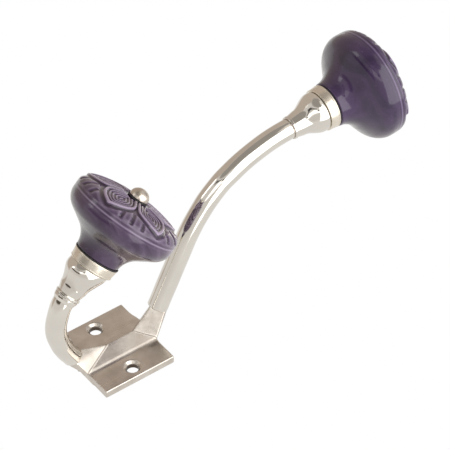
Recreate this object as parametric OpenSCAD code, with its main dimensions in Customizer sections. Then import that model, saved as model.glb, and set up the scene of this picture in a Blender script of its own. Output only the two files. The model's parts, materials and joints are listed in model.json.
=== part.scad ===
// Wall-mounted double coat hook: a cast wall plate, two bent arms with flared cups,
// and a glazed ceramic knob screwed into each cup.
// Frame: X to the right, Y into the wall, Z up. The origin is the centre of the plate's
// back face, so the hook stands out from the wall towards -Y. Both arms lie in X = 0.

/* [Wall plate] */
// Width of the plate
plate_w = 34; // [32:0.5:40]
// Height of the plate
plate_h = 30; // [28:0.5:36]
// Thickness of the plate at its edges
plate_t = 3.2; // [2.6:0.1:4]
// Distance between the two screw holes
hole_spacing = 24; // [23.5:0.1:25]
// Diameter of a screw hole
hole_d = 4.6; // [3.6:0.1:5]
// Diameter of the countersink at the front of a screw hole
sink_d = 6.6; // [5.4:0.1:6.8]
// How far the ridge's crest stands out from the wall
crest_out = 6.5; // [5.6:0.1:7]
// Half of the ridge's width where it meets the plate
ridge_half_w = 7.2; // [6.6:0.1:7.6]

/* [Arms] */
// Diameter of the round arms
arm_d = 7.8; // [7.4:0.1:8]
// Diameter of the peg at an arm's root and of the tenon at its end
peg_d = 4; // [3.6:0.1:4.4]
// Length of the root pegs
peg_len = 2.4; // [2:0.1:2.6]
// Length of the end tenons
tenon_len = 2.2; // [1.8:0.1:2.2]

/* [Upper arm] */
// Where the upper arm's root lies, out from the wall
upper_root_out = 12.4; // [12:0.1:13]
// Where the upper arm's root lies, up from the plate's centre
upper_root_up = 19.9; // [19.5:0.1:20.4]
// Slope of the upper arm at its root, up from straight out
upper_root_tilt = 27.5; // [25:0.5:30]
// Straight length from the root to the bend
upper_run = 28.3; // [27:0.1:29]
// Radius of the upper bend
upper_bend_r = 55; // [53:1:57]
// Angle that the upper arm turns through
upper_bend = 58.5; // [56:0.5:60]
// Straight length from the bend to the cup
upper_neck = 2.5; // [1.5:0.1:4]

/* [Lower arm] */
// Where the lower arm's root lies, out from the wall
lower_root_out = 9.4; // [9:0.1:9.8]
// Where the lower arm's root lies, down from the plate's centre
lower_root_down = 17.6; // [17.2:0.1:18]
// Slope of the lower arm at its root, down from straight out
lower_root_drop = 24.5; // [22:0.5:27]
// Straight length from the root to the bend
lower_run = 10.9; // [10:0.1:12]
// Radius of the lower bend
lower_bend_r = 16.6; // [16:0.1:18]
// Angle that the lower arm turns through
lower_bend = 71; // [69:0.5:74]
// Straight length from the bend to the cup
lower_neck = 1.6; // [1:0.1:3]

/* [Cups and ferrules] */
// Length of a cup from its neck to its rim
cup_len = 13.4; // [13:0.1:14]
// Diameter of a cup's neck
cup_neck_d = 8.8; // [8.4:0.1:9]
// Diameter of a cup at its rim
cup_rim_d = 15.2; // [14.6:0.1:15.4]
// Length of a ferrule
ferrule_len = 3.8; // [3.4:0.1:4.4]
// Diameter of a ferrule at the cup
ferrule_rear_d = 16.8; // [16:0.1:17]
// Diameter of a ferrule at the knob
ferrule_front_d = 17.6; // [17.4:0.1:18]

/* [Knobs] */
// Largest diameter of a knob
knob_d = 42; // [40:0.5:44]
// Diameter of a knob at its foot
knob_foot_d = 17.2; // [16.6:0.1:17.4]
// Height of a knob, from its foot to the top of its face
knob_h = 24.8; // [24:0.1:26]
// Radius of the knob's round rim
rim_r = 6.8; // [6.4:0.1:7.2]
// Angle between the flank under the rim and the knob's axis
flank_angle = 56; // [54:0.5:58]
// How much the knob's face is domed
face_rise = 1.7; // [1.4:0.1:2]

/* [Fasteners] */
// Turns of thread held by a cup
thread_turns = 6.5; // [5:0.5:6.5]
// Diameter of the bolt's domed head
head_d = 7.4; // [7:0.1:8]
// Height of the bolt's domed head
head_h = 3.8; // [3.2:0.1:4]

/* [Hidden] */
$fn = 96;
nickel = [0.80, 0.77, 0.73];
steel = [0.55, 0.56, 0.57];
purple = [0.36, 0.29, 0.40];
black = [0.06, 0.06, 0.06];

arm_r = arm_d / 2;
// Diameter and pitch of the bolt's thread, M4
bolt_d = 4;
pitch = 0.7;
// Overlap of a straight part and a bend, and how much thinner the straight part is
lap = 0.4;
hair = 0.01;
// Gap between a ferrule and its cup, and around each loose washer
seat_gap = 0.15;
// Clearance between the bolt and a tapped hole, on the radius
thread_gap = 0.05;
bolt_hole_r = bolt_d / 2 + thread_gap;
gasket_t = 0.6;
washer_t = 0.8;
nut_t = 3.2;
nut_flats = 7;
nut_corner_r = nut_flats / 2 / cos(30);
counterbore_d = 9.4;
counterbore_depth = nut_t + washer_t + 2 * seat_gap;
thread_len = thread_turns * pitch;
head_washer_t = 0.5;
head_washer_d = 8;
knob_hole_d = 4.8;
// The hollow neck is narrowest this far below the knob's foot, and thinner there by the waist
neck_low = 1;
neck_waist = 0.05;
// Distances along a knob's axis from the cup's rim
ferrule_at = seat_gap;
gasket_at = ferrule_at + ferrule_len;
knob_at = gasket_at + gasket_t;
head_at = knob_at + knob_h + head_washer_t;
nut_at = ferrule_at - nut_t;
washer_at = nut_at - seat_gap - washer_t;
bolt_end_at = -counterbore_depth - thread_len;

// Places its children at a point in X = 0, with +Z along a slope up from straight out
module side(out, up, slope) {
  translate([0, -out, up])
    rotate([90 - slope, 0, 0])
      children();
}

// Moves its children to the end of a bend
module past_bend(bend_r, angle) {
  translate([0, bend_r * (1 - cos(angle)), bend_r * sin(angle)])
    rotate([-angle, 0, 0])
      children();
}

// A round bar bent upwards, from the local origin
module bend_bar(bend_r, angle) {
  translate([0, bend_r, 0])
    rotate([90, 0, -90])
      rotate_extrude(angle = angle)
        translate([bend_r, 0])
          circle(r = arm_r);
}

// A whole arm: root peg, straight run, bend, neck and end tenon. The straight parts reach a
// little way into the bend and are a hair thinner, so that no two faces lie on each other.
module arm(run, bend_r, angle, neck) {
  translate([0, 0, -peg_len])
    cylinder(h = peg_len + 1, d = peg_d);
  cylinder(h = run + lap, r = arm_r - hair);
  translate([0, 0, run]) {
    bend_bar(bend_r, angle);
    past_bend(bend_r, angle) {
      translate([0, 0, -lap])
        cylinder(h = neck + lap, r = arm_r - hair);
      translate([0, 0, lap])
        cylinder(h = neck + tenon_len - lap, d = peg_d);
    }
  }
}

// Places its children at the upper arm's root
module at_upper_root() {
  side(upper_root_out, upper_root_up, upper_root_tilt)
    children();
}

// Places its children at the lower arm's root
module at_lower_root() {
  side(lower_root_out, -lower_root_down, -lower_root_drop)
    children();
}

// Places its children at the neck of the upper cup
module at_upper_cup() {
  at_upper_root()
    translate([0, 0, upper_run])
      past_bend(upper_bend_r, upper_bend)
        translate([0, 0, upper_neck])
          children();
}

// Places its children at the neck of the lower cup
module at_lower_cup() {
  at_lower_root()
    translate([0, 0, lower_run])
      past_bend(lower_bend_r, lower_bend)
        translate([0, 0, lower_neck])
          children();
}

// Places its children on the upper cup's rim
module at_upper_rim() {
  at_upper_cup()
    translate([0, 0, cup_len])
      children();
}

// Places its children on the lower cup's rim
module at_lower_rim() {
  at_lower_cup()
    translate([0, 0, cup_len])
      children();
}

// The spine that joins the two bosses, with hollow flanks and a sharp crest
module ridge() {
  flank = [[1, 0], [0.82, 0.1], [0.62, 0.32], [0, 1]];
  rise = crest_out - plate_t;
  right = [for (p = flank) [p[0] * ridge_half_w, -plate_t - p[1] * rise]];
  left = [for (i = [len(flank) - 2:-1:0]) [-right[i][0], right[i][1]]];
  foot = [[-ridge_half_w, -plate_t + 1], [ridge_half_w, -plate_t + 1]];
  translate([0, 0, -plate_h / 2])
    linear_extrude(height = plate_h)
      polygon(concat(right, left, foot));
}

// The flat, five-sided end of a boss where an arm is joined on
module boss_end() {
  s = arm_r;
  translate([0, 0, -0.5])
    linear_extrude(height = 0.5)
      polygon([[0, -s], [0.98 * s, 0.2 * s], [0.6 * s, 0.8 * s], [-0.6 * s, 0.8 * s], [-0.98 * s, 0.2 * s]]);
}

// A boss that runs from the crest to an arm's root
module boss(crest_z, edge_z) {
  inner = edge_z > 0 ? edge_z - 3 : edge_z + 3;
  hull() {
    children();
    translate([-0.1, -crest_out, crest_z])
      cube([0.2, 2, 0.2]);
    translate([-ridge_half_w + 1, -plate_t, min(edge_z, inner)])
      cube([2 * ridge_half_w - 2, 1, 3]);
  }
}

// A countersunk hole for a wall screw
module screw_hole(x) {
  translate([x, 1, 0])
    rotate([90, 0, 0])
      cylinder(h = plate_t + 2, d = hole_d);
  translate([x, -plate_t + (sink_d - hole_d) / 2, 0])
    rotate([90, 0, 0])
      cylinder(h = (sink_d - hole_d) / 2, d1 = hole_d, d2 = sink_d);
  translate([x, -plate_t, 0])
    rotate([90, 0, 0])
      cylinder(h = 4, d = sink_d);
}

module wall_plate() {
  color(nickel)
    difference() {
      union() {
        translate([-plate_w / 2, -plate_t, -plate_h / 2])
          cube([plate_w, plate_t, plate_h]);
        ridge();
        boss(8.6, plate_h / 2)
          at_upper_root()
            boss_end();
        boss(-2.8, -plate_h / 2)
          at_lower_root()
            mirror([0, 1, 0])
              boss_end();
      }
      at_upper_root()
        translate([0, 0, -peg_len])
          cylinder(h = peg_len + 1, d = peg_d);
      at_lower_root()
        translate([0, 0, -peg_len])
          cylinder(h = peg_len + 1, d = peg_d);
      screw_hole(-hole_spacing / 2);
      screw_hole(hole_spacing / 2);
    }
}

module upper_arm() {
  color(nickel)
    at_upper_root()
      arm(upper_run, upper_bend_r, upper_bend, upper_neck);
}

module lower_arm() {
  color(nickel)
    at_lower_root()
      arm(lower_run, lower_bend_r, lower_bend, lower_neck);
}

// A flared cup: a socket for the arm behind, a counterbore for the nut in front
module cup() {
  neck_r = cup_neck_d / 2;
  rim_rad = cup_rim_d / 2;
  steps = 14;
  // A tapered neck, then a flare that follows a half cosine up to the shoulder
  taper_r = neck_r + 0.45;
  flare_from = 4;
  flare_to = cup_len - 1.2;
  shoulder_r = rim_rad + 0.1;
  color(nickel)
    difference() {
      rotate_extrude()
        polygon(concat(
          [[0, 0], [neck_r, 0]],
          [for (i = [0:steps]) [
            taper_r + (shoulder_r - taper_r) * (1 - cos(180 * i / steps)) / 2,
            flare_from + (flare_to - flare_from) * i / steps]],
          [[rim_rad, cup_len], [0, cup_len]]
        ));
      translate([0, 0, -1])
        cylinder(h = tenon_len + 1, d = peg_d);
      cylinder(h = cup_len + 1, r = bolt_hole_r);
      translate([0, 0, cup_len - counterbore_depth])
        cylinder(h = counterbore_depth + 1, d = counterbore_d);
    }
}

module lock_washer() {
  color(steel)
    translate([0, 0, washer_at])
      difference() {
        cylinder(h = washer_t, d = 7);
        translate([0, 0, -1])
          cylinder(h = washer_t + 2, r = bolt_hole_r);
      }
}

module nut() {
  color(steel)
    translate([0, 0, nut_at])
      difference() {
        cylinder(h = nut_t, r = nut_corner_r, $fn = 6);
        translate([0, 0, -1])
          cylinder(h = nut_t + 2, r = bolt_hole_r);
      }
}

module ferrule() {
  color(nickel)
    translate([0, 0, ferrule_at])
      difference() {
        cylinder(h = ferrule_len, d1 = ferrule_rear_d, d2 = ferrule_front_d);
        translate([0, 0, -1])
          cylinder(h = ferrule_len + 2, r = bolt_hole_r);
      }
}

module gasket() {
  color(black)
    translate([0, 0, gasket_at])
      difference() {
        cylinder(h = gasket_t, d = ferrule_front_d + 0.3);
        translate([0, 0, -1])
          cylinder(h = gasket_t + 2, d = knob_hole_d);
      }
}

// The knob's outline: the hollow neck, a straight flank, the round rim and the domed face
module knob() {
  rim_c = [knob_d / 2 - rim_r, knob_h - face_rise - rim_r];
  waist_r = knob_foot_d / 2 - neck_waist;
  // The flank leaves the rim here, and the neck's arc runs smoothly into the flank
  flank = rim_c + rim_r * [cos(flank_angle), -sin(flank_angle)];
  flank_rise = tan(flank_angle) * (flank[1] + neck_low);
  neck_r = (flank_rise - flank[0] + waist_r) / (1 / cos(flank_angle) - 1);
  neck_c = [waist_r + neck_r, -neck_low];
  start = 180 - asin(neck_low / neck_r);
  stop = 180 - flank_angle;
  face_r = (rim_c[0] * rim_c[0] + face_rise * face_rise) / (2 * face_rise);
  face_a = asin(rim_c[0] / face_r);
  neck_arc = [for (i = [0:10]) let (a = start + (stop - start) * i / 10)
    neck_c + neck_r * [cos(a), sin(a)]];
  rim_arc = [for (i = [0:18]) let (a = -flank_angle + (90 + flank_angle) * i / 18)
    rim_c + rim_r * [cos(a), sin(a)]];
  face_arc = [for (i = [1:8]) let (a = face_a * (1 - i / 8))
    [face_r * sin(a), knob_h - face_r * (1 - cos(a))]];
  color(purple)
    translate([0, 0, knob_at])
      difference() {
        rotate_extrude()
          polygon(concat([[0, 0]], neck_arc, rim_arc, face_arc));
        translate([0, 0, -1])
          cylinder(h = knob_h + 2, d = knob_hole_d);
      }
}

module head_washer() {
  color(black)
    translate([0, 0, knob_at + knob_h])
      difference() {
        cylinder(h = head_washer_t, d = head_washer_d);
        translate([0, 0, -1])
          cylinder(h = head_washer_t + 2, r = bolt_hole_r);
      }
}

// A bolt with a high domed head
module bolt() {
  dome_r = (head_d * head_d / 4 + head_h * head_h) / (2 * head_h);
  color(nickel) {
    translate([0, 0, bolt_end_at])
      cylinder(h = head_at - bolt_end_at + 1, d = bolt_d);
    translate([0, 0, head_at])
      intersection() {
        cylinder(h = head_h, d = head_d);
        translate([0, 0, head_h - dome_r])
          sphere(r = dome_r);
      }
  }
}

wall_plate();
upper_arm();
lower_arm();
at_upper_cup() cup();  // upper_cup
at_lower_cup() cup();  // lower_cup
at_upper_rim() lock_washer();  // upper_lock_washer
at_lower_rim() lock_washer();  // lower_lock_washer
at_upper_rim() nut();  // upper_nut
at_lower_rim() nut();  // lower_nut
at_upper_rim() ferrule();  // upper_ferrule
at_lower_rim() ferrule();  // lower_ferrule
at_upper_rim() gasket();  // upper_gasket
at_lower_rim() gasket();  // lower_gasket
at_upper_rim() knob();  // upper_knob
at_lower_rim() knob();  // lower_knob
at_upper_rim() head_washer();  // upper_head_washer
at_lower_rim() head_washer();  // lower_head_washer
at_upper_rim() bolt();  // upper_bolt
at_lower_rim() bolt();  // lower_bolt
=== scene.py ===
"""A wall-mounted coat hook: a cast and plated bracket with two bent arms, and a glazed
ceramic knob with an embossed flower on each arm. Shapes are worked out in millimetres in
the frame of each piece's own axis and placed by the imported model's joints and boxes."""

import json
from math import acos, asin, atan2, cos, pi, radians, sin, sqrt, tan

import bmesh
import bpy
import numpy as np
from mathutils import Matrix, Quaternion, Vector


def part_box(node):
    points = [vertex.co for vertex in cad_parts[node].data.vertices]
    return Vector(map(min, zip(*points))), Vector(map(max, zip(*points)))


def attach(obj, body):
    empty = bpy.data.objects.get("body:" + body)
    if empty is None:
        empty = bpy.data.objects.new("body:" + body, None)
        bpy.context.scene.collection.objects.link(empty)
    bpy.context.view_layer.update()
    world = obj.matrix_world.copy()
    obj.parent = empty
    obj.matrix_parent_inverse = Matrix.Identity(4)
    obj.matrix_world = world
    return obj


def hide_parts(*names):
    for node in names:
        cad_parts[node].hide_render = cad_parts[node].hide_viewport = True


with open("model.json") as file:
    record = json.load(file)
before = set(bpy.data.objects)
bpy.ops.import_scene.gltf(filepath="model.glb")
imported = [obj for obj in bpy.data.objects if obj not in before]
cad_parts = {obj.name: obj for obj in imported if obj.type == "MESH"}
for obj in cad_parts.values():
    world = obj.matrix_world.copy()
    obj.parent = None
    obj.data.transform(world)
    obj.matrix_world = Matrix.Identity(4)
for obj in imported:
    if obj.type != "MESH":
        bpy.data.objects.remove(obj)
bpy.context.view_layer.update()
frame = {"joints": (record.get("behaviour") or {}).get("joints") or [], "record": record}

MM = 0.001
SIDES = ("upper", "lower")

# ---------------------------------------------------------------------------
# Sizes, in millimetres. They are the CAD model's, but for the hand-made differences in
# the plate's facets, the bows, the rings' radii and the lower cup
# ---------------------------------------------------------------------------
PLATE_T = 3.2
PLATE_HALF_H = 15.0
PLATE_EDGE_R = 0.45
SCREW_HOLE_R = 2.3
COUNTERSINK = 1.0
CREST_OUT = 6.5
# The crest's ends along Z, where the bosses rise from it
CREST_ENDS = {"upper": 8.6, "lower": -2.8}
# Half widths of a boss where it meets the plate, at distances from the plate's edge
BOSS_BASE = ((5.8, 0.0), (3.4, 3.0))
FLANK_SLOPE = 0.5
# The right flank ends in a steeper bevel: a point on it as (x, out), and its slope
BEVEL_AT = (5.3, 3.85)
BEVEL_SLOPE = 1.2
ARM_R = 3.9
PEG_R = 2.0
PEG_LEN = 2.4
TENON_LEN = 2.2
ARMS = {
    "upper": dict(run=28.3, bend_r=55.0, bend=radians(58.5), neck=2.5),
    "lower": dict(run=10.9, bend_r=16.6, bend=radians(71.0), neck=1.6),
}
# The arms were bent by hand, so each strays a little from its true line along local Y.
# Each bow: (how far, distances from the cup's rim where it starts and is full, and again
# where it ends and is full)
BOWS = {
    "upper": ((0.56, (-0.5, -11), (-46, -26)), (-0.25, (-41, -46), (-60, -54))),
    "lower": ((-1.0, (0.8, -4), (-23, -15)), (-0.45, (-33, -38), (-46, -41))),
}
CUP_LEN = 13.4
CUP_NECK_R = 4.4
CUP_TAPER_R = 4.85
CUP_RIM_R = 7.6
COUNTERBORE_R = 4.7
COUNTERBORE_DEPTH = 4.3
TAPPED_R = 2.05
FERRULE_LEN = 3.8
# Each ferrule was turned by hand: its radius at the cup and at the knob
FERRULE_RADII = {"upper": (8.15, 8.45), "lower": (8.4, 8.75)}
GASKET_RADII = {"upper": 8.2, "lower": 8.9}
# The lower ferrule and gasket sit off centre, and the lower cup was filed down less
RING_SHIFT = {"upper": 0.0, "lower": 0.24}
CUP_FULLER = {"upper": 0.0, "lower": 0.36}
SEAT_GAP = 0.15
GASKET_T = 0.6
KNOB_R = 21.0
KNOB_FOOT_R = 8.6
KNOB_H = 24.8
KNOB_RIM_R = 6.8
FACE_RISE = 1.7
KNOB_RIM_Z = KNOB_H - FACE_RISE - KNOB_RIM_R
FLANK_ANGLE = radians(56)
NECK_LOW = 1.0
NECK_WAIST = 0.05
KNOB_HOLE_R = 2.4
BOLT_R = 2.0
THREAD_PITCH = 0.7
THREAD_DEPTH = 0.38
HEAD_R = 3.7
HEAD_H = 3.8
HEAD_WASHER_R = 4.0
HEAD_WASHER_T = 0.5
NUT_T = 3.2
NUT_FLATS = 7.0
LOCK_WASHER_R = 3.5
LOCK_WASHER_T = 0.8

# Distances along a knob's axis from the cup's rim
GASKET_AT = SEAT_GAP + FERRULE_LEN
KNOB_AT = GASKET_AT + GASKET_T
HEAD_AT = KNOB_AT + KNOB_H + HEAD_WASHER_T
NUT_AT = SEAT_GAP - NUT_T
LOCK_WASHER_AT = NUT_AT - SEAT_GAP - LOCK_WASHER_T
BOLT_END_AT = -COUNTERBORE_DEPTH - 6.5 * THREAD_PITCH


# ---------------------------------------------------------------------------
# Places
# ---------------------------------------------------------------------------
def seat(side):
    """The frame at a cup's rim: Z along the knob's axis, X along the row's X."""
    joint = next(j for j in frame["joints"] if j["name"] == side + "_turn")
    z = Vector(joint["axis"]).normalized()
    x = Vector((1, 0, 0))
    place = Matrix((x, z.cross(x), z)).transposed().to_4x4()
    place.translation = Vector(joint["pos_m"]) / MM
    return place


def past_bend(bend_r, angle):
    """The move from the start of a bend to a point at that angle along it."""
    shift = Matrix.Translation((0, bend_r * (1 - cos(angle)), bend_r * sin(angle)))
    return shift @ Matrix.Rotation(-angle, 4, "X")


def along(distance):
    """The move straight ahead along Z."""
    return Matrix.Translation((0, 0, distance))


def arm_root(side):
    """The frame at an arm's root, found by going back from its cup's rim."""
    arm = ARMS[side]
    forward = (along(arm["run"]) @ past_bend(arm["bend_r"], arm["bend"])
               @ along(arm["neck"] + CUP_LEN))
    return seat(side) @ forward.inverted()


def arm_place(side, s):
    """The frame on an arm's centre line at distance s from its root."""
    arm = ARMS[side]
    bend_len = arm["bend_r"] * arm["bend"]
    if s <= arm["run"]:
        return along(s)
    if s <= arm["run"] + bend_len:
        return along(arm["run"]) @ past_bend(arm["bend_r"], (s - arm["run"]) / arm["bend_r"])
    return (along(arm["run"]) @ past_bend(arm["bend_r"], arm["bend"])
            @ along(s - arm["run"] - bend_len))


def bow(side, z):
    """How far an arm and its cup stray along local Y at distance z from the cup's rim."""
    return sum(far * smooth_step(*near, z) * smooth_step(*back, z) for far, near, back in BOWS[side])


# ---------------------------------------------------------------------------
# Mesh tools
# ---------------------------------------------------------------------------
def smooth_step(low, high, x):
    """Eases from 0 at low to 1 at high. Low may be the greater of the two."""
    t = np.clip((x - low) / (high - low), 0, 1)
    return t * t * (3 - 2 * t)


def smooth_min(a, b, k):
    """The lesser of a and b, with the corner between them rounded over k."""
    h = np.maximum(k - np.abs(a - b), 0) / k
    return np.minimum(a, b) - h * h * k / 4


def smooth_max(a, b, k):
    """The greater of a and b, with the corner between them rounded over k."""
    return -smooth_min(-a, -b, k)


def groove(x, width):
    """A rounded profile: 1 where x is 0, fading to nothing a little beyond the width."""
    return np.exp(-(x / width) ** 2)


def waves(seed, *coords):
    """Smooth, repeatable unevenness between about -1 and 1 from a few sine waves."""
    rng = np.random.default_rng(seed)
    total = 0
    for _ in range(6):
        phase = sum(c * rng.uniform(-1, 1) for c in coords)
        total = total + np.sin(phase + rng.uniform(0, 2 * pi))
    return total / 3.4


def rounded(corners, steps=5):
    """An outline through (r, z, fillet) corners, with each corner rounded by its fillet."""
    points = []
    count = len(corners)
    for i, (r, z, fillet) in enumerate(corners):
        here = Vector((r, z))
        if fillet <= 0:
            points.append(here)
            continue
        back = (Vector(corners[i - 1][:2]) - here).normalized()
        ahead = (Vector(corners[(i + 1) % count][:2]) - here).normalized()
        half = acos(max(-1, min(1, back.dot(ahead)))) / 2
        centre = here + (back + ahead).normalized() * fillet / sin(half)
        first = here + back * fillet / tan(half) - centre
        last = here + ahead * fillet / tan(half) - centre
        start = atan2(first.y, first.x)
        sweep = (atan2(last.y, last.x) - start + pi) % (2 * pi) - pi
        for k in range(steps + 1):
            a = start + sweep * k / steps
            points.append(centre + Vector((cos(a), sin(a))) * fillet)
    return [(p.x, p.y) for p in points]


def ring_faces(rows, cols, close_rows):
    """Quads over a grid of rings: each ring is closed, and the rows may be too."""
    last = rows if close_rows else rows - 1
    i, j = np.meshgrid(np.arange(last), np.arange(cols), indexing="ij")
    k, n = (i + 1) % rows, (j + 1) % cols
    return np.stack([i * cols + j, i * cols + n, k * cols + n, k * cols + j], -1).reshape(-1, 4)


def make_piece(name, points, faces, body, nodes, material, place=None,
               values=None, sharp=35, normals=None):
    """A mesh piece from points in millimetres, riding on a body in place of CAD nodes."""
    points = np.asarray(points, float).reshape(-1, 3)
    if place is not None:
        turn = np.array(place.to_3x3())
        points = points @ turn.T + np.array(place.translation)
    mesh = bpy.data.meshes.new(name)
    mesh.from_pydata((points * MM).tolist(), [], [list(f) for f in faces])
    for key, numbers in (values or {}).items():
        layer = mesh.attributes.new(key, "FLOAT", "POINT")
        layer.data.foreach_set("value", np.asarray(numbers, np.float32).ravel())
    mesh.validate()
    work = bmesh.new()
    work.from_mesh(mesh)
    bmesh.ops.recalc_face_normals(work, faces=work.faces)
    work.to_mesh(mesh)
    work.free()
    mesh.shade_smooth()
    if normals is not None:
        mesh.normals_split_custom_set_from_vertices(normals.tolist())
    else:
        mesh.set_sharp_from_angle(angle=radians(sharp))
    mesh.materials.append(material)
    piece = bpy.data.objects.new(name, mesh)
    bpy.context.scene.collection.objects.link(piece)
    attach(piece, body)
    if nodes:
        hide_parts(*nodes)
    return piece


def fill_ends(faces, points, rows, cols):
    """Closes the first and last ring of an open tube with a fan to a centre point."""
    grid = points.reshape(rows, cols, 3)
    ends = np.array([grid[0].mean(0), grid[-1].mean(0)])
    first, last = rows * cols, rows * cols + 1
    fans = [[first, (j + 1) % cols, j] for j in range(cols)]
    base = (rows - 1) * cols
    fans += [[last, base + j, base + (j + 1) % cols] for j in range(cols)]
    return [list(f) for f in faces] + fans, np.vstack([points, ends])


def lathe(name, outline, side, body, nodes, material, cols=96, closed=True,
          shape=None, move=None, sharp=35):
    """Turns an outline of (r, z) about the knob axis. Shape changes (r, z), move (x, y, z)."""
    outline = np.array(outline, float)
    angle = np.linspace(0, 2 * pi, cols, endpoint=False)
    steps = np.hypot(*np.diff(outline, axis=0).T)
    run = np.concatenate([[0], np.cumsum(steps)])
    r = np.repeat(outline[:, :1], cols, 1)
    z = np.repeat(outline[:, 1:], cols, 1)
    if shape:
        r, z = shape(r, z, angle[None, :] + 0 * r)
    x, y = r * np.cos(angle), r * np.sin(angle)
    if move:
        x, y, z = move(x, y, z)
    points = np.stack([x, y, z], -1).reshape(-1, 3)
    faces = ring_faces(len(outline), cols, closed)
    marks = np.repeat(run, cols)
    if not closed:
        faces, points = fill_ends(faces, points, len(outline), cols)
        marks = np.concatenate([marks, [0, run[-1]]])
    return make_piece(name, points, faces, body, nodes, material, seat(side),
                      values={"run": marks}, sharp=sharp)


# ---------------------------------------------------------------------------
# Materials
# ---------------------------------------------------------------------------
class Shader:
    """A material's node tree, with short ways to add the nodes used here."""

    def __init__(self, name):
        self.material = bpy.data.materials.new(name)
        self.material.use_nodes = True
        self.tree = self.material.node_tree
        self.bsdf = self.tree.nodes["Principled BSDF"]

    def add(self, kind, settings=None, **links):
        node = self.tree.nodes.new(kind)
        for key, value in (settings or {}).items():
            setattr(node, key, value)
        for key, value in links.items():
            self.join(value, node.inputs[key.replace("_", " ")])
        return node

    def join(self, value, socket):
        if isinstance(value, bpy.types.NodeSocket):
            self.tree.links.new(value, socket)
        else:
            socket.default_value = value

    def set(self, **values):
        for key, value in values.items():
            self.join(value, self.bsdf.inputs[key.replace("_", " ")])

    def where(self):
        """A point on the piece, in metres."""
        return self.add("ShaderNodeTexCoord").outputs["Object"]

    def attribute(self, name):
        node = self.add("ShaderNodeAttribute", {"attribute_name": name})
        return node.outputs["Fac"]

    def noise(self, scale, detail=3.0, stretch=(1, 1, 1), vector=None, distortion=0.0):
        placed = self.add("ShaderNodeMapping", Vector=vector or self.where(), Scale=stretch)
        node = self.add("ShaderNodeTexNoise", Vector=placed.outputs[0], Scale=scale,
                        Detail=detail, Distortion=distortion)
        return node.outputs["Fac"]

    def along_run(self, scale, detail=2.0):
        """Noise that changes only along a turned piece's outline."""
        spread = self.add("ShaderNodeCombineXYZ", X=self.attribute("run"))
        node = self.add("ShaderNodeTexNoise", Vector=spread.outputs[0], Scale=scale, Detail=detail)
        return node.outputs["Fac"]

    def ramp(self, value, *stops):
        """Colours for a value, from stops of (value, colour)."""
        node = self.add("ShaderNodeValToRGB", Fac=value)
        elements = node.color_ramp.elements
        while len(elements) < len(stops):
            elements.new(0.5)
        for element, (place, colour) in zip(elements, stops):
            element.position = place
            element.color = (*colour, 1)
        return node.outputs["Color"]

    def scaled(self, value, low, high, to_low, to_high):
        """A value moved from one range to another, and held within it."""
        node = self.add("ShaderNodeMapRange", Value=value)
        for key, number in (("From Min", low), ("From Max", high), ("To Min", to_low),
                            ("To Max", to_high)):
            node.inputs[key].default_value = number
        return node.outputs[0]

    def mix(self, factor, a, b):
        node = self.tree.nodes.new("ShaderNodeMix")
        node.data_type = "RGBA"
        self.join(factor, node.inputs[0])
        self.join(a if isinstance(a, bpy.types.NodeSocket) else (*a, 1), node.inputs[6])
        self.join(b if isinstance(b, bpy.types.NodeSocket) else (*b, 1), node.inputs[7])
        return node.outputs[2]

    def bump(self, height, depth, below=None):
        """Raises the surface by up to depth metres where height is 1."""
        node = self.add("ShaderNodeBump", Height=height, Strength=1.0, Distance=depth)
        if below:
            self.join(below, node.inputs["Normal"])
        return node.outputs[0]


def cast_nickel():
    """Cast, ground and plated: warm grey with soft grinding marks, and painted shade, near black, in
    the screw holes and along the bosses' seams.
    """
    s = Shader("cast_nickel")
    clouds = s.noise(180, 4.0)
    plated = s.ramp(clouds, (0.30, (0.57, 0.52, 0.46)), (0.55, (0.67, 0.62, 0.56)),
                    (0.75, (0.74, 0.70, 0.64)))
    # Painted shade: near-black colour is mixed in where the plate's attribute marks the screw holes
    # and the seams between the bosses and the right flank
    s.set(Base_Color=s.mix(s.attribute("hollow"), plated, (0.09, 0.07, 0.055)))
    s.set(Metallic=1.0)
    smears = s.noise(420, 3.0, stretch=(1, 1, 0.25))
    s.set(Roughness=s.scaled(smears, 0.3, 0.7, 0.24, 0.38))
    scratches = s.noise(2600, 2.0, stretch=(0.12, 1, 1))
    dents = s.bump(s.noise(240, 2.0), 0.00006)
    s.set(Normal=s.bump(scratches, 0.000006, dents))
    return s.material


def polished_nickel():
    """Mirror-polished nickel plate with faint smears and buffing marks."""
    s = Shader("polished_nickel")
    tint = s.noise(90, 2.0)
    s.set(Base_Color=s.ramp(tint, (0.3, (0.73, 0.70, 0.65)), (0.7, (0.79, 0.76, 0.70))))
    s.set(Metallic=1.0)
    smears = s.noise(260, 4.0, distortion=0.6)
    s.set(Roughness=s.scaled(smears, 0.35, 0.75, 0.06, 0.15))
    ripple = s.bump(s.noise(320, 1.0), 0.00002)
    s.set(Normal=s.bump(s.noise(5200, 1.0, stretch=(1, 0.3, 0.3)), 0.0000012, ripple))
    return s.material


def turned_nickel():
    """A turned ring, plated: fine circular tool marks."""
    s = Shader("turned_nickel")
    s.set(Base_Color=s.ramp(s.noise(150, 3.0), (0.3, (0.76, 0.70, 0.60)),
                            (0.7, (0.84, 0.78, 0.68))))
    s.set(Metallic=1.0)
    marks = s.along_run(9.0)
    s.set(Roughness=s.scaled(marks, 0.3, 0.7, 0.24, 0.36))
    s.set(Normal=s.bump(marks, 0.00001))
    return s.material


def satin_nickel():
    """Plated bolt: softer shine, its tone a little patchy."""
    s = Shader("satin_nickel")
    s.set(Base_Color=s.ramp(s.noise(500, 3.0), (0.35, (0.56, 0.50, 0.43)),
                            (0.65, (0.70, 0.64, 0.57))))
    s.set(Metallic=1.0)
    s.set(Roughness=s.scaled(s.noise(900, 2.0), 0.3, 0.7, 0.2, 0.34))
    s.set(Normal=s.bump(s.noise(700, 2.0), 0.00003))
    return s.material


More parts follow.
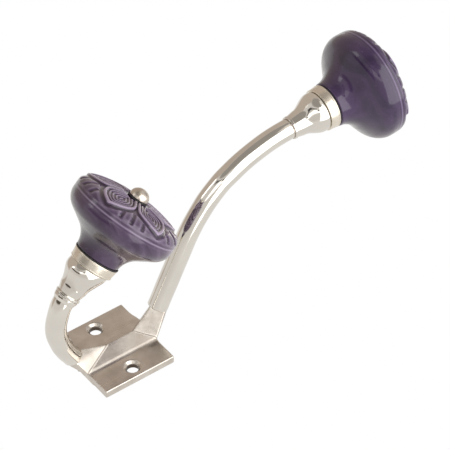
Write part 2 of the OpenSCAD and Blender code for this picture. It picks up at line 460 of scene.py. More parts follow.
def zinc_steel():
    """Bright zinc plate over steel, a little blotchy."""
    s = Shader("zinc_steel")
    s.set(Base_Color=s.ramp(s.noise(700, 4.0), (0.3, (0.44, 0.46, 0.48)),
                            (0.7, (0.60, 0.61, 0.60))))
    s.set(Metallic=1.0)
    s.set(Roughness=s.scaled(s.noise(1200, 2.0), 0.3, 0.7, 0.28, 0.42))
    s.set(Normal=s.bump(s.noise(2200, 2.0), 0.00001))
    return s.material


def black_fibre():
    """Matt black fibre, a little dusty in patches."""
    s = Shader("black_fibre")
    s.set(Base_Color=s.ramp(s.noise(1400, 4.0), (0.35, (0.012, 0.011, 0.012)),
                            (0.75, (0.045, 0.042, 0.042))))
    s.set(Roughness=s.scaled(s.noise(2400, 2.0), 0.3, 0.7, 0.55, 0.8))
    s.set(Normal=s.bump(s.noise(3600, 2.0), 0.00002))
    return s.material


def braze_metal():
    """Plated-over braze: rough and brownish."""
    s = Shader("braze_metal")
    s.set(Base_Color=s.ramp(s.noise(1500, 3.0), (0.35, (0.30, 0.24, 0.19)),
                            (0.65, (0.62, 0.56, 0.50))))
    s.set(Metallic=1.0)
    s.set(Roughness=s.scaled(s.noise(1800, 2.0), 0.3, 0.7, 0.25, 0.5))
    s.set(Normal=s.bump(s.noise(2600, 3.0), 0.00006))
    return s.material


def purple_glaze(name, deep, body, pale):
    """Gloss glaze over white clay: deep where it pools, pale where it thins on edges."""
    s = Shader(name)
    thin = s.attribute("thin")
    streaks = s.noise(70, 4.0, stretch=(1, 1, 2.2), distortion=1.2)
    specks = s.noise(900, 3.0)
    patchy = s.mix(s.scaled(streaks, 0.35, 0.72, 0.0, 1.0), deep, body)
    patchy = s.mix(s.scaled(specks, 0.62, 0.8, 0.0, 0.18), patchy, pale)
    lifted = s.mix(s.scaled(thin, 0.02, 0.22, 0.0, 1.0), patchy, pale)
    pooled = s.mix(s.scaled(thin, -0.02, -0.20, 0.0, 1.0), lifted, tuple(c * 0.5 for c in deep))
    s.set(Base_Color=pooled, IOR=1.5)
    s.set(Roughness=s.scaled(s.noise(300, 3.0), 0.3, 0.7, 0.26, 0.38))
    s.bsdf.inputs["Specular IOR Level"].default_value = 0.2
    s.bsdf.inputs["Coat Weight"].default_value = 0.9
    s.bsdf.inputs["Coat Roughness"].default_value = 0.09
    s.bsdf.inputs["Coat IOR"].default_value = 1.5
    s.set(Normal=s.bump(s.noise(160, 2.0), 0.00008))
    return s.material


MATERIALS = {
    "cast_nickel": cast_nickel(),
    "polished_nickel": polished_nickel(),
    "turned_nickel": turned_nickel(),
    "satin_nickel": satin_nickel(),
    "steel": zinc_steel(),
    "black_rubber": black_fibre(),
}
BRAZE = braze_metal()
GLAZES = {
    "upper": purple_glaze("purple_glaze_dark", (0.030, 0.014, 0.055), (0.072, 0.038, 0.108),
                          (0.23, 0.17, 0.30)),
    "lower": purple_glaze("purple_glaze", (0.046, 0.021, 0.062), (0.118, 0.075, 0.145),
                          (0.35, 0.275, 0.40)),
}


# ---------------------------------------------------------------------------
# Wall plate: the zero surface of a distance field, so its parts blend like a casting
# ---------------------------------------------------------------------------
def hull_planes(points):
    """The outward planes of the convex hull of some points, as (normal, offset)."""
    work = bmesh.new()
    for p in points:
        work.verts.new(p)
    bmesh.ops.convex_hull(work, input=work.verts)
    middle = Vector(np.mean(points, axis=0))
    planes = {}
    for face in work.faces:
        face.normal_update()
        n = face.normal.normalized()
        if n.dot(face.verts[0].co - middle) < 0:
            n = -n
        planes[tuple(round(v, 2) for v in n)] = (np.array(n), n.dot(face.verts[0].co))
    work.free()
    return list(planes.values())


def boss_planes(side):
    """The faceted boss between the plate's edge, the crest and an arm's five-sided root."""
    up = 1 if side == "upper" else -1
    root = arm_root(side)
    end = [(0, -1), (0.98, 0.2), (0.6, 0.8), (-0.6, 0.8), (-0.98, 0.2)]
    corners = [root @ Vector((x * ARM_R, y * ARM_R * up, z)) for x, y in end for z in (-0.5, 0)]
    corners += [Vector((x, -out, CREST_ENDS[side])) for x in (-0.1, 0.1)
                for out in (CREST_OUT, CREST_OUT - 2)]
    for half, inward in BOSS_BASE:
        corners += [Vector((x, -out, (PLATE_HALF_H - inward) * up)) for x in (-half, half)
                    for out in (PLATE_T - 1, PLATE_T)]
    return hull_planes([tuple(c) for c in corners])


def plate_field():
    """Two functions of points in millimetres: the plate's signed distance, and how near a
    point is to a seam between a boss and the right flank, from 0 to 1."""
    half_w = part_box("wall_plate")[1].x / MM
    hole_x = hole_spacing() / 2
    bosses = [boss_planes(side) for side in SIDES]

    def slab(x, o, z):
        qx = np.abs(x) - half_w + PLATE_EDGE_R
        qo = np.abs(o - PLATE_T / 2) - PLATE_T / 2 + PLATE_EDGE_R
        qz = np.abs(z) - PLATE_HALF_H + PLATE_EDGE_R
        beyond = np.sqrt(sum(np.maximum(q, 0) ** 2 for q in (qx, qo, qz)))
        return beyond + np.minimum(np.maximum(qx, np.maximum(qo, qz)), 0) - PLATE_EDGE_R

    def ridge(x, o, z):
        flank = facet(np.abs(x), o, 0, CREST_OUT, FLANK_SLOPE)
        flank = np.where(x > 0, smooth_max(flank, facet(x, o, *BEVEL_AT, BEVEL_SLOPE), 0.2), flank)
        ends = np.abs(z) - PLATE_HALF_H + 0.1
        return smooth_max(smooth_max(flank, ends, 0.35), -o, 0.3)

    def hole(x, o, z, at_x):
        r = np.hypot(x - at_x, z)
        cone = (r - SCREW_HOLE_R - (o - (PLATE_T - COUNTERSINK))) / sqrt(2)
        return np.minimum(r - SCREW_HOLE_R, np.maximum(r - SCREW_HOLE_R - COUNTERSINK, cone))

    def body_and_seam(p):
        x, o, z = p[..., 0], -p[..., 1], p[..., 2]
        body = smooth_min(slab(x, o, z), ridge(x, o, z), np.where(x > 0, 1.0, 2.6))
        seam = 0
        for planes in bosses:
            sides = [n[0] * x - n[1] * o + n[2] * z - c for n, c in planes]
            boss = sides[0]
            for other in sides[1:]:
                boss = smooth_max(boss, other, 0.35)
            seam = np.maximum(seam, groove(boss - body, 0.2) * smooth_step(-0.3, 0.3, x))
            body = smooth_min(body, boss, 0.5)
        for at_x in (-hole_x, hole_x):
            body = smooth_max(body, -hole(x, o, z, at_x), 0.22)
        return smooth_max(body, -o, 0.3), seam

    return (lambda p: body_and_seam(p)[0]), (lambda p: body_and_seam(p)[1])


def facet(x, o, at_x, at_o, slope):
    """Distance outside a plane through a point that falls by slope for each step in X."""
    return (o - at_o + slope * (x - at_x)) / sqrt(1 + slope * slope)


def hole_spacing():
    """Distance between the screw holes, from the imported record's bolt pattern."""
    mount = next(m for m in frame["record"]["mounts"] if m["kind"] == "bolt_pattern")
    return mount["dims"]["spacing_x_mm"]


def gradient(field, p, step=0.02):
    """The direction and rate of a field's growth at some points."""
    parts = []
    for axis in range(3):
        shift = np.zeros(3)
        shift[axis] = step
        parts.append((field(p + shift) - field(p - shift)) / (2 * step))
    return np.stack(parts, -1)


def surface_net(field, low, high, step):
    """A quad mesh of a field's zero surface: one point for each cell that it crosses."""
    axes = [np.arange(a, b + step, step) for a, b in zip(low, high)]
    grid = np.stack(np.meshgrid(*axes, indexing="ij"), -1)
    solid = field(grid) < 0
    nx, ny, nz = solid.shape
    corner_count = sum(
        solid[i:nx - 1 + i, j:ny - 1 + j, k:nz - 1 + k].astype(np.int8)
        for i in (0, 1) for j in (0, 1) for k in (0, 1))
    crossed = (corner_count > 0) & (corner_count < 8)
    ids = np.full(crossed.shape, -1)
    ids[crossed] = np.arange(crossed.sum())
    points = grid[:-1, :-1, :-1][crossed] + step / 2
    faces = []
    for axis in range(3):
        u, v = (axis + 1) % 3, (axis + 2) % 3
        a = np.moveaxis(solid, (axis, u, v), (0, 1, 2))
        cell = np.moveaxis(ids, (axis, u, v), (0, 1, 2))
        edge = a[:-1, 1:-1, 1:-1] != a[1:, 1:-1, 1:-1]
        quads = np.stack([cell[:, :-1, :-1][edge], cell[:, 1:, :-1][edge],
                          cell[:, 1:, 1:][edge], cell[:, :-1, 1:][edge]], -1)
        faces.append(quads)
    return points, np.concatenate(faces)


def settle(points, faces, field, rounds=4):
    """Evens the points out along the surface and puts them back on it."""
    edges = np.concatenate([faces[:, [i, (i + 1) % 4]] for i in range(4)])
    weight = np.bincount(edges.ravel(), minlength=len(points))[:, None]
    for _ in range(rounds):
        total = np.zeros_like(points)
        np.add.at(total, edges[:, 0], points[edges[:, 1]])
        np.add.at(total, edges[:, 1], points[edges[:, 0]])
        points = 0.5 * points + 0.5 * total / weight
        for _ in range(3):
            slope = gradient(field, points)
            move = field(points) / np.maximum((slope ** 2).sum(-1), 0.05)
            points = points - move[:, None] * slope
    return points


def wall_plate():
    """The plate's casting, with painted shade in its screw holes and along the bosses' seams."""
    field, seams = plate_field()
    low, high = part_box("wall_plate")
    margin = 0.6
    points, faces = surface_net(field, np.array(low) / MM - margin, np.array(high) / MM + margin,
                                0.28)
    points = settle(points, faces, field)
    x, y, z = points.T
    points[:, 1] = np.minimum(y, -0.0005)
    r = np.hypot(np.abs(x) - hole_spacing() / 2, z)
    # Painted shade: the screw holes' bores darken towards the back of the plate, and the seams
    # between the bosses and the right flank darken in front of it
    hollow = smooth_step(2.75, 2.4, r) * smooth_step(0.9, 1.5, PLATE_T + y)
    seam = seams(points) * (y < -PLATE_T - 0.2)
    normals = gradient(field, points)
    normals /= np.linalg.norm(normals, axis=1)[:, None]
    make_piece("wall_plate_casting", points, faces, "root", ["wall_plate"],
               MATERIALS["cast_nickel"], values={"hollow": np.maximum(hollow, 0.9 * seam)},
               normals=normals)


# ---------------------------------------------------------------------------
# Arms, cups and fastenings
# ---------------------------------------------------------------------------
def bent_arm(side):
    """A round bar, hand-polished, with a peg at its root and a tenon in its cup."""
    arm = ARMS[side]
    length = arm["run"] + arm["bend_r"] * arm["bend"] + arm["neck"]
    seed = 11 if side == "upper" else 23
    cols = 72
    angle = np.linspace(0, 2 * pi, cols, endpoint=False)
    stations = [(-PEG_LEN, PEG_R), (-0.02, PEG_R), (0.0, ARM_R - 0.22), (0.12, ARM_R - 0.06)]
    stations += [(s, ARM_R) for s in np.arange(0.3, length - 0.3, 0.6)]
    stations += [(length - 0.2, ARM_R - 0.03), (length, ARM_R - 0.12), (length + 0.01, PEG_R),
                 (length + TENON_LEN, PEG_R)]
    rings = []
    for s, r in stations:
        uneven = 0.0
        if r > PEG_R + 1:
            fade = min(1, s / 3, (length - s) / 3)
            uneven = -0.014 + 0.035 * fade * waves(seed, s * 0.55 + 0 * angle, 2.2 * np.cos(angle),
                                          2.2 * np.sin(angle))
        x, y = (r + uneven) * np.cos(angle), (r + uneven) * np.sin(angle)
        local = np.stack([x, y + bow(side, s - length - CUP_LEN), 0 * angle], -1)
        place = arm_place(side, s)
        rings.append(local @ np.array(place.to_3x3()).T + np.array(place.translation))
    points = np.concatenate(rings)
    faces, points = fill_ends(ring_faces(len(stations), cols, False), points, len(stations), cols)
    make_piece(side + "_arm_bar", points, faces, "root", [side + "_arm"],
               MATERIALS["polished_nickel"], arm_root(side))


def flared_cup(side):
    """The flared bell: collar and tapered neck, S-curve flare, lipped rim, the nut's recess."""
    start, stop = 4.0 - CUP_LEN, -1.2
    shoulder = CUP_RIM_R + 0.1
    outline = rounded([(PEG_R + 0.02, -CUP_LEN, 0), (CUP_NECK_R - 0.02, -CUP_LEN, 0.3),
                       (CUP_NECK_R + 0.14, -CUP_LEN + 1.2, 0.2)])
    for t in np.linspace(0, 1, 29):
        outline.append((CUP_TAPER_R + (shoulder - CUP_TAPER_R) * (1 - cos(pi * t)) / 2,
                        start + (stop - start) * t))
    outline += rounded([
        (shoulder, -0.6, 0), (CUP_RIM_R, 0, 0.3), (COUNTERBORE_R, 0, 0.12),
        (COUNTERBORE_R, -COUNTERBORE_DEPTH, 0.3), (TAPPED_R, -COUNTERBORE_DEPTH, 0.2),
        (TAPPED_R, BOLT_END_AT - 0.4, 0), (TAPPED_R, TENON_LEN - CUP_LEN, 0),
        (PEG_R + 0.02, TENON_LEN - CUP_LEN, 0)])

    def dressed(r, z, angle):
        outer = smooth_step(CUP_NECK_R - 0.3, CUP_NECK_R, r) * smooth_step(-0.4, -1.5, z)
        outer = outer * ((r > COUNTERBORE_R + 0.05) | (z < -COUNTERBORE_DEPTH - 0.5))
        fuller = CUP_FULLER[side] * smooth_step(-3, -8, z)
        dents = 0.03 * waves(31, z * 0.6, 2 * np.cos(angle), 2 * np.sin(angle))
        return r + outer * (fuller + dents), z

    def strayed(x, y, z):
        # the bow leaves the rim's recess and the thread straight
        skin = (np.hypot(x, y) > COUNTERBORE_R + 0.05) | (z < -CUP_LEN + TENON_LEN + 0.1)
        return x, y + bow(side, z) * skin, z

    lathe(side + "_cup_bell", outline, side, "root", [side + "_cup"],
          MATERIALS["polished_nickel"], shape=dressed, move=strayed)


def braze_ring(side):
    """The bead where the cup is brazed to the arm, with a few rough spots. The lower one is
    a longer collar, filed smooth."""
    at = -CUP_LEN
    if side == "upper":
        material = BRAZE
        outline = rounded([(ARM_R - 0.25, at - 0.45, 0), (ARM_R + 0.04, at - 0.35, 0.05),
                           (ARM_R + 0.1, at - 0.02, 0.05), (ARM_R - 0.25, at - 0.02, 0)], steps=2)
    else:
        material = MATERIALS["polished_nickel"]
        outline = rounded([(ARM_R - 0.25, at - 2.3, 0), (ARM_R + 0.12, at - 2.1, 0.1),
                           (ARM_R + 0.66, at - 1.0, 0.6), (ARM_R + 0.74, at - 0.02, 0.1),
                           (ARM_R - 0.25, at - 0.02, 0)], steps=4)

    def uneven(r, z, angle):
        edge = smooth_step(ARM_R - 0.2, ARM_R, r)
        bead = waves(7 if side == "upper" else 9, 9 * np.cos(angle), 9 * np.sin(angle), z)
        spots = 0.25 * edge * np.maximum(bead, 0) * (z < at - 0.2)
        return r + edge * 0.07 * np.maximum(bead, -0.6), z - spots

    def strayed(x, y, z):
        return x, y + bow(side, z), z

    lathe(side + "_braze_ring", outline, side, "root", [], material,
          shape=uneven, cols=144, move=strayed)


def off_centre(side):
    """Makes a move for lathe() that sets a ring's outside a little off its bore."""
    def shift(x, y, z):
        outside = smooth_step(5, 7.5, np.hypot(x, y))
        return x, y + RING_SHIFT[side] * outside, z

    return shift


def turned_ferrule(side):
    """A turned ring with bevelled edges and a fine groove behind each edge."""
    rear, front = SEAT_GAP, SEAT_GAP + FERRULE_LEN
    rear_r, front_r = FERRULE_RADII[side]
    outline = rounded([
        (BOLT_R + 0.05, rear, 0.1), (rear_r, rear, 0.22),
        (rear_r + 0.04, rear + 0.5, 0.1), (rear_r - 0.08, rear + 0.62, 0.05),
        (rear_r - 0.02, rear + 0.8, 0.05), (front_r - 0.12, front - 0.7, 0.1),
        (front_r - 0.2, front - 0.6, 0.05), (front_r, front - 0.45, 0.08),
        (front_r, front, 0.2), (BOLT_R + 0.05, front, 0.1)], steps=4)
    lathe(side + "_ferrule_ring", outline, side, side + "_knob_unit", [side + "_ferrule"],
          MATERIALS["turned_nickel"], cols=128, move=off_centre(side))


def gasket_ring(side):
    """A soft black ring. The lower one is squeezed a little proud of the ferrule."""
    r = GASKET_RADII[side]
    outline = rounded([(KNOB_HOLE_R, GASKET_AT, 0), (r, GASKET_AT, 0.2),
                       (r, GASKET_AT + GASKET_T, 0.2), (KNOB_HOLE_R, GASKET_AT + GASKET_T, 0)])

    def squeezed(r, z, angle):
        swell = waves(5, 4 * np.cos(angle), 4 * np.sin(angle))
        return r + 0.05 * smooth_step(8, 8.7, r) * swell, z

    lathe(side + "_gasket_ring", outline, side, side + "_knob_unit", [side + "_gasket"],
          MATERIALS["black_rubber"], shape=squeezed, cols=128,
          move=off_centre(side))


def head_washer(side):
    """A thin soft ring under the bolt's head."""
    at = KNOB_AT + KNOB_H
    outline = rounded([(BOLT_R + 0.05, at, 0), (HEAD_WASHER_R, at, 0.1),
                       (HEAD_WASHER_R - 0.1, at + HEAD_WASHER_T, 0.18),
                       (BOLT_R + 0.05, at + HEAD_WASHER_T, 0)])

    def uneven(r, z, angle):
        swell = waves(3, 5 * np.cos(angle), 5 * np.sin(angle))
        return r + 0.05 * smooth_step(3, 3.8, r) * swell, z

    lathe(side + "_head_washer_ring", outline, side, side + "_knob_unit", [side + "_head_washer"],
          MATERIALS["black_rubber"], shape=uneven)


def threaded_bolt(side):
    """A bolt with a high domed head, a plain shank and a rolled thread at its end."""
    root_r = BOLT_R - THREAD_DEPTH
    thread_top = KNOB_AT + 3.0
    rows = int((thread_top - BOLT_END_AT) / THREAD_PITCH * 10)
    outline = [(0.4, BOLT_END_AT)]
    outline += [(BOLT_R, z) for z in np.linspace(BOLT_END_AT, thread_top, rows)]
    outline += [(BOLT_R, thread_top + 0.4), (BOLT_R, HEAD_AT - 0.2), (BOLT_R + 0.05, HEAD_AT)]
    outline += rounded([(HEAD_R - 0.2, HEAD_AT, 0.0), (HEAD_R, HEAD_AT + 0.15, 0.08),
                        (HEAD_R, HEAD_AT + 0.5, 0.0)], steps=3)
    for i in range(1, 24):
        a = pi / 2 * i / 24
        outline.append((HEAD_R * cos(a), HEAD_AT + 0.5 + (HEAD_H - 0.51) * sin(a) ** 0.94))
    outline.append((0.05, HEAD_AT + HEAD_H - 0.01))

    def thread(r, z, angle):
        turn = (z / THREAD_PITCH - angle / (2 * pi)) % 1
        vee = np.abs(turn - 0.5) * 2
        ridge = root_r + THREAD_DEPTH * np.clip(1.25 * vee - 0.12, 0, 1)
        taper = smooth_step(BOLT_END_AT - 0.1, BOLT_END_AT + 0.7, z)
        fade = smooth_step(thread_top, thread_top - 0.6, z) * (r > 1)
        screw = root_r + (ridge - root_r) * taper
        return r + (screw - r) * fade, z

    lathe(side + "_bolt_domed", outline, side, side + "_knob_unit", [side + "_bolt"],
          MATERIALS["satin_nickel"], cols=64, closed=False, shape=thread, sharp=50)


def hexagon_nut(side):
    """A hexagon nut with chamfered corners."""
    top, corner = NUT_AT + NUT_T, NUT_FLATS / 2 / cos(pi / 6)
    z_rows = [NUT_AT, NUT_AT + 0.05, NUT_AT + 0.2, NUT_AT + 0.4, NUT_AT + 0.65]
    z_rows += [top - 0.65, top - 0.4, top - 0.2, top - 0.05, top]
    outline = [(TAPPED_R + 0.25, NUT_AT)] + [(corner, z) for z in z_rows]
    outline += [(TAPPED_R + 0.25, top), (TAPPED_R, top - 0.25), (TAPPED_R, NUT_AT + 0.25)]

    def hexagon(r, z, angle):
        a = (angle + pi / 6) % (pi / 3) - pi / 6
        flat = NUT_FLATS / 2 / np.cos(a)
        depth = np.minimum(z - NUT_AT, top - z)
        cone = NUT_FLATS / 2 - 0.05 + depth * 1.73
        return np.where(r > 3, np.minimum(flat, cone), r), z

    lathe(side + "_clamp_nut", outline, side, side + "_knob_unit", [side + "_nut"],
          MATERIALS["steel"], cols=96, shape=hexagon, sharp=25)


def lock_washer(side):
    """A split lock washer: a square ring cut through, its ends a little apart."""
    cols, gap = 80, radians(10)
    angle = np.linspace(gap / 2, 2 * pi - gap / 2, cols)
    low, high = LOCK_WASHER_AT, LOCK_WASHER_AT + LOCK_WASHER_T
    section = rounded([(TAPPED_R, low, 0.06), (LOCK_WASHER_R, low, 0.12),
                       (LOCK_WASHER_R, high, 0.12), (TAPPED_R, high, 0.06)], steps=2)
    rings = [[(r * cos(a), r * sin(a), z) for r, z in section] for a in angle]
    points = np.array(rings).reshape(-1, 3)
    faces, points = fill_ends(ring_faces(cols, len(section), False), points, cols, len(section))
    make_piece(side + "_split_washer", points, faces, side + "_washer", [side + "_lock_washer"],
               MATERIALS["steel"], seat(side))


# ---------------------------------------------------------------------------
# Ceramic knob
# ---------------------------------------------------------------------------
PETALS = 5
PETAL_TURN = {"upper": radians(-60), "lower": radians(-77)}
PETAL_WARP = {"upper": 0.0, "lower": radians(4)}
PETAL_WARP_AT = radians(41)
# Heights, depths, widths and places in the flower, before it is scaled up onto the face
PATTERN_SCALE = 1.13
TIP_ARC_R = 10.2
TIP_ARC_AT = (8.5, 3.7)
BORDER_H = 0.86
BORDER_W = 1.55
PETAL_H = 0.62
LINE_DEPTH = 0.62
LINE_W = 0.27
LINE_GAP = 1.15
FIRST_LINE = 1.6
MOAT_DEPTH = 0.55
GROUND_H = 0.40
STROKE_DEPTH = 1.0
STROKE_W = 0.46
# Each stroke between two petals: its angle from the middle, and where it starts
STROKES = ((radians(-16), 16.5), (radians(-1), 14.4), (radians(14), 16.5))
STROKE_END = 19.3
LIP_H = 0.42
LIP_AT = 19.3
LIP_GROOVE_DEPTH = 0.26
LIP_GROOVE_AT = 20.15
# The face and shoulder, from the bolt hole out, as (r, z)
FACE_KNOTS = ((1.0, 24.83), (2.6, 24.78), (6.0, 24.5), (10.0, 23.93), (14.0, 23.05), (17.0, 22.2),
              (19.0, 21.3), (20.25, 19.95), (20.85, 18.2), (21.0, 16.3), (20.86, 14.6))
OFF_FACE = 99
KNOB_LEAN = {"upper": 0.0, "lower": -0.3}
KNOB_STRETCH = {"upper": 1.0, "lower": 1.012}


def flower(r, angle, turn):
    """Height of the embossed flower above the plain face, in millimetres."""
    sector = 2 * pi / PETALS
    angle = angle + 0.02 * np.sin(3 * angle + 1) + 0.01 * np.sin(7 * angle)
    a = (angle - turn + sector / 2) % sector - sector / 2
    p, q = r * np.cos(a), np.abs(r * np.sin(a))
    between = p * sin(sector / 2) - q * cos(sector / 2)
    tip = TIP_ARC_R - np.hypot(p - TIP_ARC_AT[0], q + TIP_ARC_AT[1])
    # d is the distance inside a petal's edge
    d = smooth_min(between, tip, 1.4)
    wall = smooth_step(-0.15, 0.5, d)
    moat = MOAT_DEPTH * groove(d + 0.5, 0.6)
    border = BORDER_H * smooth_step(BORDER_W + 0.2, BORDER_W - 0.2, d)
    inner = PETAL_H - 0.05 * np.maximum(d - 1.5, 0)
    line = (d - FIRST_LINE + LINE_GAP / 2) % LINE_GAP - LINE_GAP / 2
    lines = LINE_DEPTH * groove(line, LINE_W) * (d > 1.0) * smooth_step(6.8, 5.2, d)
    petal = wall * (np.maximum(border, inner) - lines)

    # b is the angle from the middle of a gap between petals
    b = (angle - turn) % sector - sector / 2
    strokes = sum(groove(r * (b - at), STROKE_W) * smooth_step(start - 0.6, start, r)
                  * smooth_step(STROKE_END, STROKE_END - 0.3, r) for at, start in STROKES)
    ground = GROUND_H * smooth_step(13.0, 14.5, r) - STROKE_DEPTH * strokes
    ground = ground * smooth_step(-0.2, -1.0, d) - moat * smooth_step(19.4, 18.6, r)

    lip = LIP_H * groove(r - LIP_AT, 0.5) - LIP_GROOVE_DEPTH * groove(r - LIP_GROOVE_AT, 0.4)
    height = np.where(d > 0, petal - moat * (1 - wall), ground)
    height = np.maximum(height, lip * smooth_step(18.8, 19.2, r)) + np.minimum(lip, 0)
    past_washer = smooth_step(HEAD_WASHER_R + 0.1, HEAD_WASHER_R + 1.3, r)
    return height * smooth_step(21.3, 20.7, r) * past_washer


def smooth_curve(knots, count):
    """Points evenly spread along a smooth curve through the knots, but for the end ones."""
    p = np.array(knots)
    t = np.linspace(0, 1, 60, endpoint=False)[:, None]
    parts = []
    for a, b, c, d in zip(p, p[1:], p[2:], p[3:]):
        parts.append(0.5 * (2 * b + (c - a) * t + (2 * a - 5 * b + 4 * c - d) * t ** 2
                            + (3 * b - 3 * c + d - a) * t ** 3))
    fine = np.concatenate(parts + [p[-2:-1]])
    run = np.concatenate([[0], np.cumsum(np.hypot(*np.diff(fine, axis=0).T))])
    at = np.linspace(0, run[-1], count)
    return np.stack([np.interp(at, run, fine[:, 0]), np.interp(at, run, fine[:, 1])], -1), at


def knob_outline():
    """Foot, hollow neck, flank, round rim, domed face and bore: rows of (r, z, normal, u),
    where u is the way along the face from the axis, or OFF_FACE away from the face."""
    rim_r, rim_z = KNOB_R - KNOB_RIM_R, KNOB_RIM_Z
    c, s = cos(FLANK_ANGLE), sin(FLANK_ANGLE)
    waist_r = KNOB_FOOT_R - NECK_WAIST
    flank = (rim_r + KNOB_RIM_R * c, rim_z - KNOB_RIM_R * s)
    neck_r = (s / c * (flank[1] + NECK_LOW) - flank[0] + waist_r) / (1 / c - 1)
    neck_angles = np.linspace(pi - asin((NECK_LOW + 0.4) / neck_r), pi - FLANK_ANGLE, 30)
    rows = []

    def arc(at_r, at_z, radius, angles, way=1):
        for a in angles:
            rows.append((at_r + radius * cos(a), at_z + radius * sin(a), way * cos(a), way * sin(a),
                         OFF_FACE))

    for r in np.linspace(KNOB_HOLE_R, KNOB_FOOT_R - 0.4, 6):
        rows.append((r, 0.0, 0, -1, OFF_FACE))
    arc(KNOB_FOOT_R - 0.4, 0.4, 0.4, np.linspace(-pi / 2, 0, 5)[1:-1])
    arc(waist_r + neck_r, -NECK_LOW, neck_r, neck_angles, way=-1)
    low_r, low_z = rows[-1][:2]
    for t in np.linspace(0, 1, 11)[1:-1]:
        rows.append((low_r + (flank[0] - low_r) * t, low_z + (flank[1] - low_z) * t, c, -s, OFF_FACE))
    arc(rim_r, rim_z, KNOB_RIM_R, np.linspace(-FLANK_ANGLE, 0, 17)[:-1])
    face, run = smooth_curve(FACE_KNOTS, 128)
    way = np.gradient(face, axis=0)
    way /= np.linalg.norm(way, axis=1)[:, None]
    for (r, z), (dr, dz), u in zip(face[::-1], way[::-1], run[::-1] + face[0, 0]):
        rows.append((r, z, -dz, dr, u))
    rows.append((KNOB_HOLE_R, KNOB_H - 0.2, -1, 0, OFF_FACE))
    rows.append((KNOB_HOLE_R, KNOB_H / 2, -1, 0, OFF_FACE))
    return np.array(rows)


def blurred(grid, rounds):
    """Each value averaged with its neighbours, round the knob and along its outline."""
    for _ in range(rounds):
        grid = (grid + np.roll(grid, 1, 1) + np.roll(grid, -1, 1)) / 3
        padded = np.pad(grid, ((1, 1), (0, 0)), "edge")
        grid = (padded[:-2] + padded[1:-1] + padded[2:]) / 3
    return grid


def ceramic_knob(side):
    """The glazed knob. Its thin value says where the glaze is thin, over raised edges."""
    rows = knob_outline()
    cols = 480
    angle = np.linspace(0, 2 * pi, cols, endpoint=False)[None, :]
    r, z, nr, nz, u = (rows[:, k:k + 1] + 0 * angle for k in range(5))
    u = u / PATTERN_SCALE
    warped = angle + PETAL_WARP[side] * np.sin(2 * (angle + PETAL_WARP_AT))
    raised = blurred(flower(u, warped + 0 * r, PETAL_TURN[side]), 1)
    thin = raised - blurred(raised, 16) + 0.08 * groove(u - 21.4, 0.7)
    lumps = 0.05 * waves(41, 0.25 * z, 0.2 * r * np.cos(angle), 0.2 * r * np.sin(angle)) - 0.06
    lumps = lumps * smooth_step(0.2, 3.0, z) * (r > KNOB_HOLE_R + 1)
    out = raised + lumps
    r, z = r + nr * out, z + nz * out
    # the raised lip stays within the knob's width
    widest = KNOB_R - 0.06 - 0.05 * np.maximum(z - KNOB_RIM_Z, 0)
    r = smooth_min(r, widest, 0.25)
    x, y = r * np.cos(angle), r * np.sin(angle) * KNOB_STRETCH[side]
    y = y + KNOB_LEAN[side] * z / KNOB_H
    points = np.stack([x, y, z + KNOB_AT], -1)
    make_piece(side + "_knob_glazed", points, ring_faces(len(rows), cols, True),
               side + "_knob_unit", [side + "_knob"], GLAZES[side], seat(side),
               values={"thin": thin}, sharp=60)


# ---------------------------------------------------------------------------
# Studio: white surround for the camera, panels of light for the reflections, and a floor
# ---------------------------------------------------------------------------
# The hook is lit as if it lay on its back on a white table, so the studio's "up" is -Y.
# Each panel: (bearing from, to, height from, to, softness) in degrees, colour, strength.
# Bearing is the angle about the studio's "up", measured from the camera's side.
CAMERA_BEARING = radians(125)
PANELS = (
    # ceiling, dull
    ((-181, 181), (58, 91), 6, (1.00, 0.93, 0.86), 0.36),
    # bounce from the softbox on the ceiling
    ((-130, -72), (53, 71), 10, (1.00, 0.94, 0.87), 0.95),
    # far side of the room
    ((97, 181), (-12, 58), 9, (1.00, 0.86, 0.75), 0.56),
    ((-181, -150), (-12, 58), 9, (1.00, 0.86, 0.75), 0.56),
    # main softbox
    ((-88, -13), (-14, 58), 4, (1.00, 0.99, 0.98), 2.6),
    # its wing, low over the camera
    ((-14, 30), (31, 46), 3, (1.00, 0.98, 0.96), 1.8),
    # second, small softbox
    ((82, 97), (29, 45), 3, (1.00, 0.99, 0.98), 2.4),
    # dark stands and the camera
    ((30, 88), (17, 30), 6, (1.00, 0.84, 0.70), 0.10),
    ((12, 66), (48.5, 52), 1.5, (1.00, 0.90, 0.80), 0.02),
    ((-8, 6), (40, 46.5), 1.5, (1.00, 0.90, 0.80), 0.02),
)
TABLE = ((1.0, 0.98, 0.955), 0.86)
ROOM = ((1.0, 0.965, 0.93), 0.74)


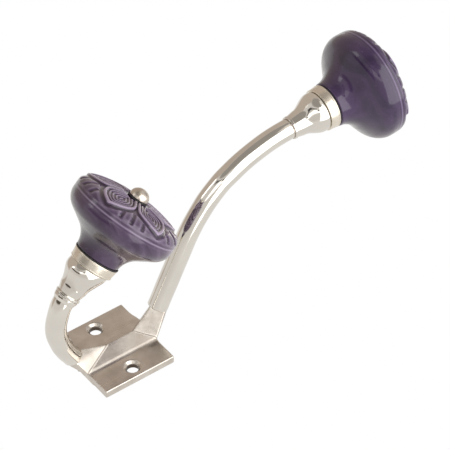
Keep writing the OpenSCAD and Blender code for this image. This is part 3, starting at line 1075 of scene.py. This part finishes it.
def studio():
    """The world: a white backdrop for the camera, and the panels for everything else."""
    world = bpy.data.worlds.new("studio")
    bpy.context.scene.world = world
    world.use_nodes = True
    tree = world.node_tree
    tree.nodes.clear()

    def node(kind, *values, **settings):
        new = tree.nodes.new(kind)
        for key, value in settings.items():
            setattr(new, key, value)
        for k, value in enumerate(values):
            if isinstance(value, bpy.types.NodeSocket):
                tree.links.new(value, new.inputs[k])
            elif value is not None:
                new.inputs[k].default_value = value
        return new.outputs[0]

    def dot(vector, way):
        new = tree.nodes.new("ShaderNodeVectorMath")
        new.operation = "DOT_PRODUCT"
        tree.links.new(vector, new.inputs[0])
        new.inputs[1].default_value = way
        return new.outputs["Value"]

    def edge(value, at, soft):
        return node("ShaderNodeMapRange", value, at - soft, at + soft, 0.0, 1.0,
                    interpolation_type="SMOOTHSTEP")

    def times(a, b):
        return node("ShaderNodeMath", a, b, operation="MULTIPLY")

    def inverse(a):
        return node("ShaderNodeMath", 1.0, a, operation="SUBTRACT")

    def shade(factor, a, b):
        new = tree.nodes.new("ShaderNodeMix")
        new.data_type = "RGBA"
        tree.links.new(factor, new.inputs[0])
        for socket, value in ((new.inputs[6], a), (new.inputs[7], b)):
            if isinstance(value, bpy.types.NodeSocket):
                tree.links.new(value, socket)
            else:
                socket.default_value = value
        return new.outputs[2]

    def light(colour, strength):
        return (*(c * strength for c in colour), 1)

    look = tree.nodes.new("ShaderNodeTexCoord").outputs["Generated"]
    c, s = cos(CAMERA_BEARING), sin(CAMERA_BEARING)
    bearing = node("ShaderNodeMath", dot(look, (c, 0, -s)), dot(look, (s, 0, c)),
                   operation="ARCTAN2")
    height = node("ShaderNodeMath", dot(look, (0, -1, 0)), operation="ARCSINE")
    colour = shade(edge(height, radians(-6), radians(10)), light(*TABLE), light(*ROOM))
    for (b0, b1), (h0, h1), soft, tone, strength in PANELS:
        soft = radians(soft) / 2
        across = times(edge(bearing, radians(b0), soft), inverse(edge(bearing, radians(b1), soft)))
        upright = times(edge(height, radians(h0), soft), inverse(edge(height, radians(h1), soft)))
        colour = shade(times(across, upright), colour, light(tone, strength))
    seen = tree.nodes.new("ShaderNodeLightPath").outputs["Is Camera Ray"]
    colour = shade(seen, colour, (1.0, 1.0, 1.0, 1.0))
    background = tree.nodes.new("ShaderNodeBackground")
    tree.links.new(colour, background.inputs["Color"])
    output = tree.nodes.new("ShaderNodeOutputWorld")
    tree.links.new(background.outputs[0], output.inputs["Surface"])


def pale_floor():
    """A plain floor well below the hook. It is left out of reflections."""
    s = Shader("floor_paint")
    s.set(Base_Color=s.ramp(s.noise(6, 3.0), (0.3, (0.80, 0.80, 0.80)), (0.7, (0.84, 0.84, 0.83))))
    s.set(Roughness=s.scaled(s.noise(40, 2.0), 0.3, 0.7, 0.6, 0.7))
    half, drop = 2.5, 0.6
    mesh = bpy.data.meshes.new("floor")
    mesh.from_pydata([(-half, -half, -drop), (half, -half, -drop), (half, half, -drop),
                      (-half, half, -drop)], [], [(0, 1, 2, 3)])
    mesh.materials.append(s.material)
    floor = bpy.data.objects.new("floor", mesh)
    bpy.context.scene.collection.objects.link(floor)
    floor.visible_glossy = False
    floor.visible_diffuse = False


# The camera stands below and to the right of the hook, and is turned on its side
CAMERA_PLACE = Vector((0.5894, -0.7069, -0.3640))
CAMERA_AIM = Vector((0.0, -0.03549, 0.05102))
CAMERA_ROLL = radians(62.91)
CAMERA_LENS = 216.0


def camera():
    """A long lens, well back from the hook."""
    data = bpy.data.cameras.new("camera")
    data.lens = CAMERA_LENS
    data.sensor_width = 36.0
    data.clip_start = 0.05
    data.clip_end = 20.0
    shot = bpy.data.objects.new("camera", data)
    shot.location = CAMERA_PLACE
    aim = (CAMERA_AIM - CAMERA_PLACE).to_track_quat("-Z", "Y")
    shot.rotation_mode = "QUATERNION"
    shot.rotation_quaternion = aim @ Quaternion((0, 0, 1), CAMERA_ROLL)
    bpy.context.scene.collection.objects.link(shot)
    bpy.context.scene.camera = shot
    bpy.context.scene.view_settings.view_transform = "Standard"


# ---------------------------------------------------------------------------
# The whole object
# ---------------------------------------------------------------------------
camera()
studio()
pale_floor()
wall_plate()
for side in SIDES:
    bent_arm(side)
    flared_cup(side)
    braze_ring(side)
    turned_ferrule(side)
    gasket_ring(side)
    ceramic_knob(side)
    head_washer(side)
    threaded_bolt(side)
    hexagon_nut(side)
    lock_washer(side)
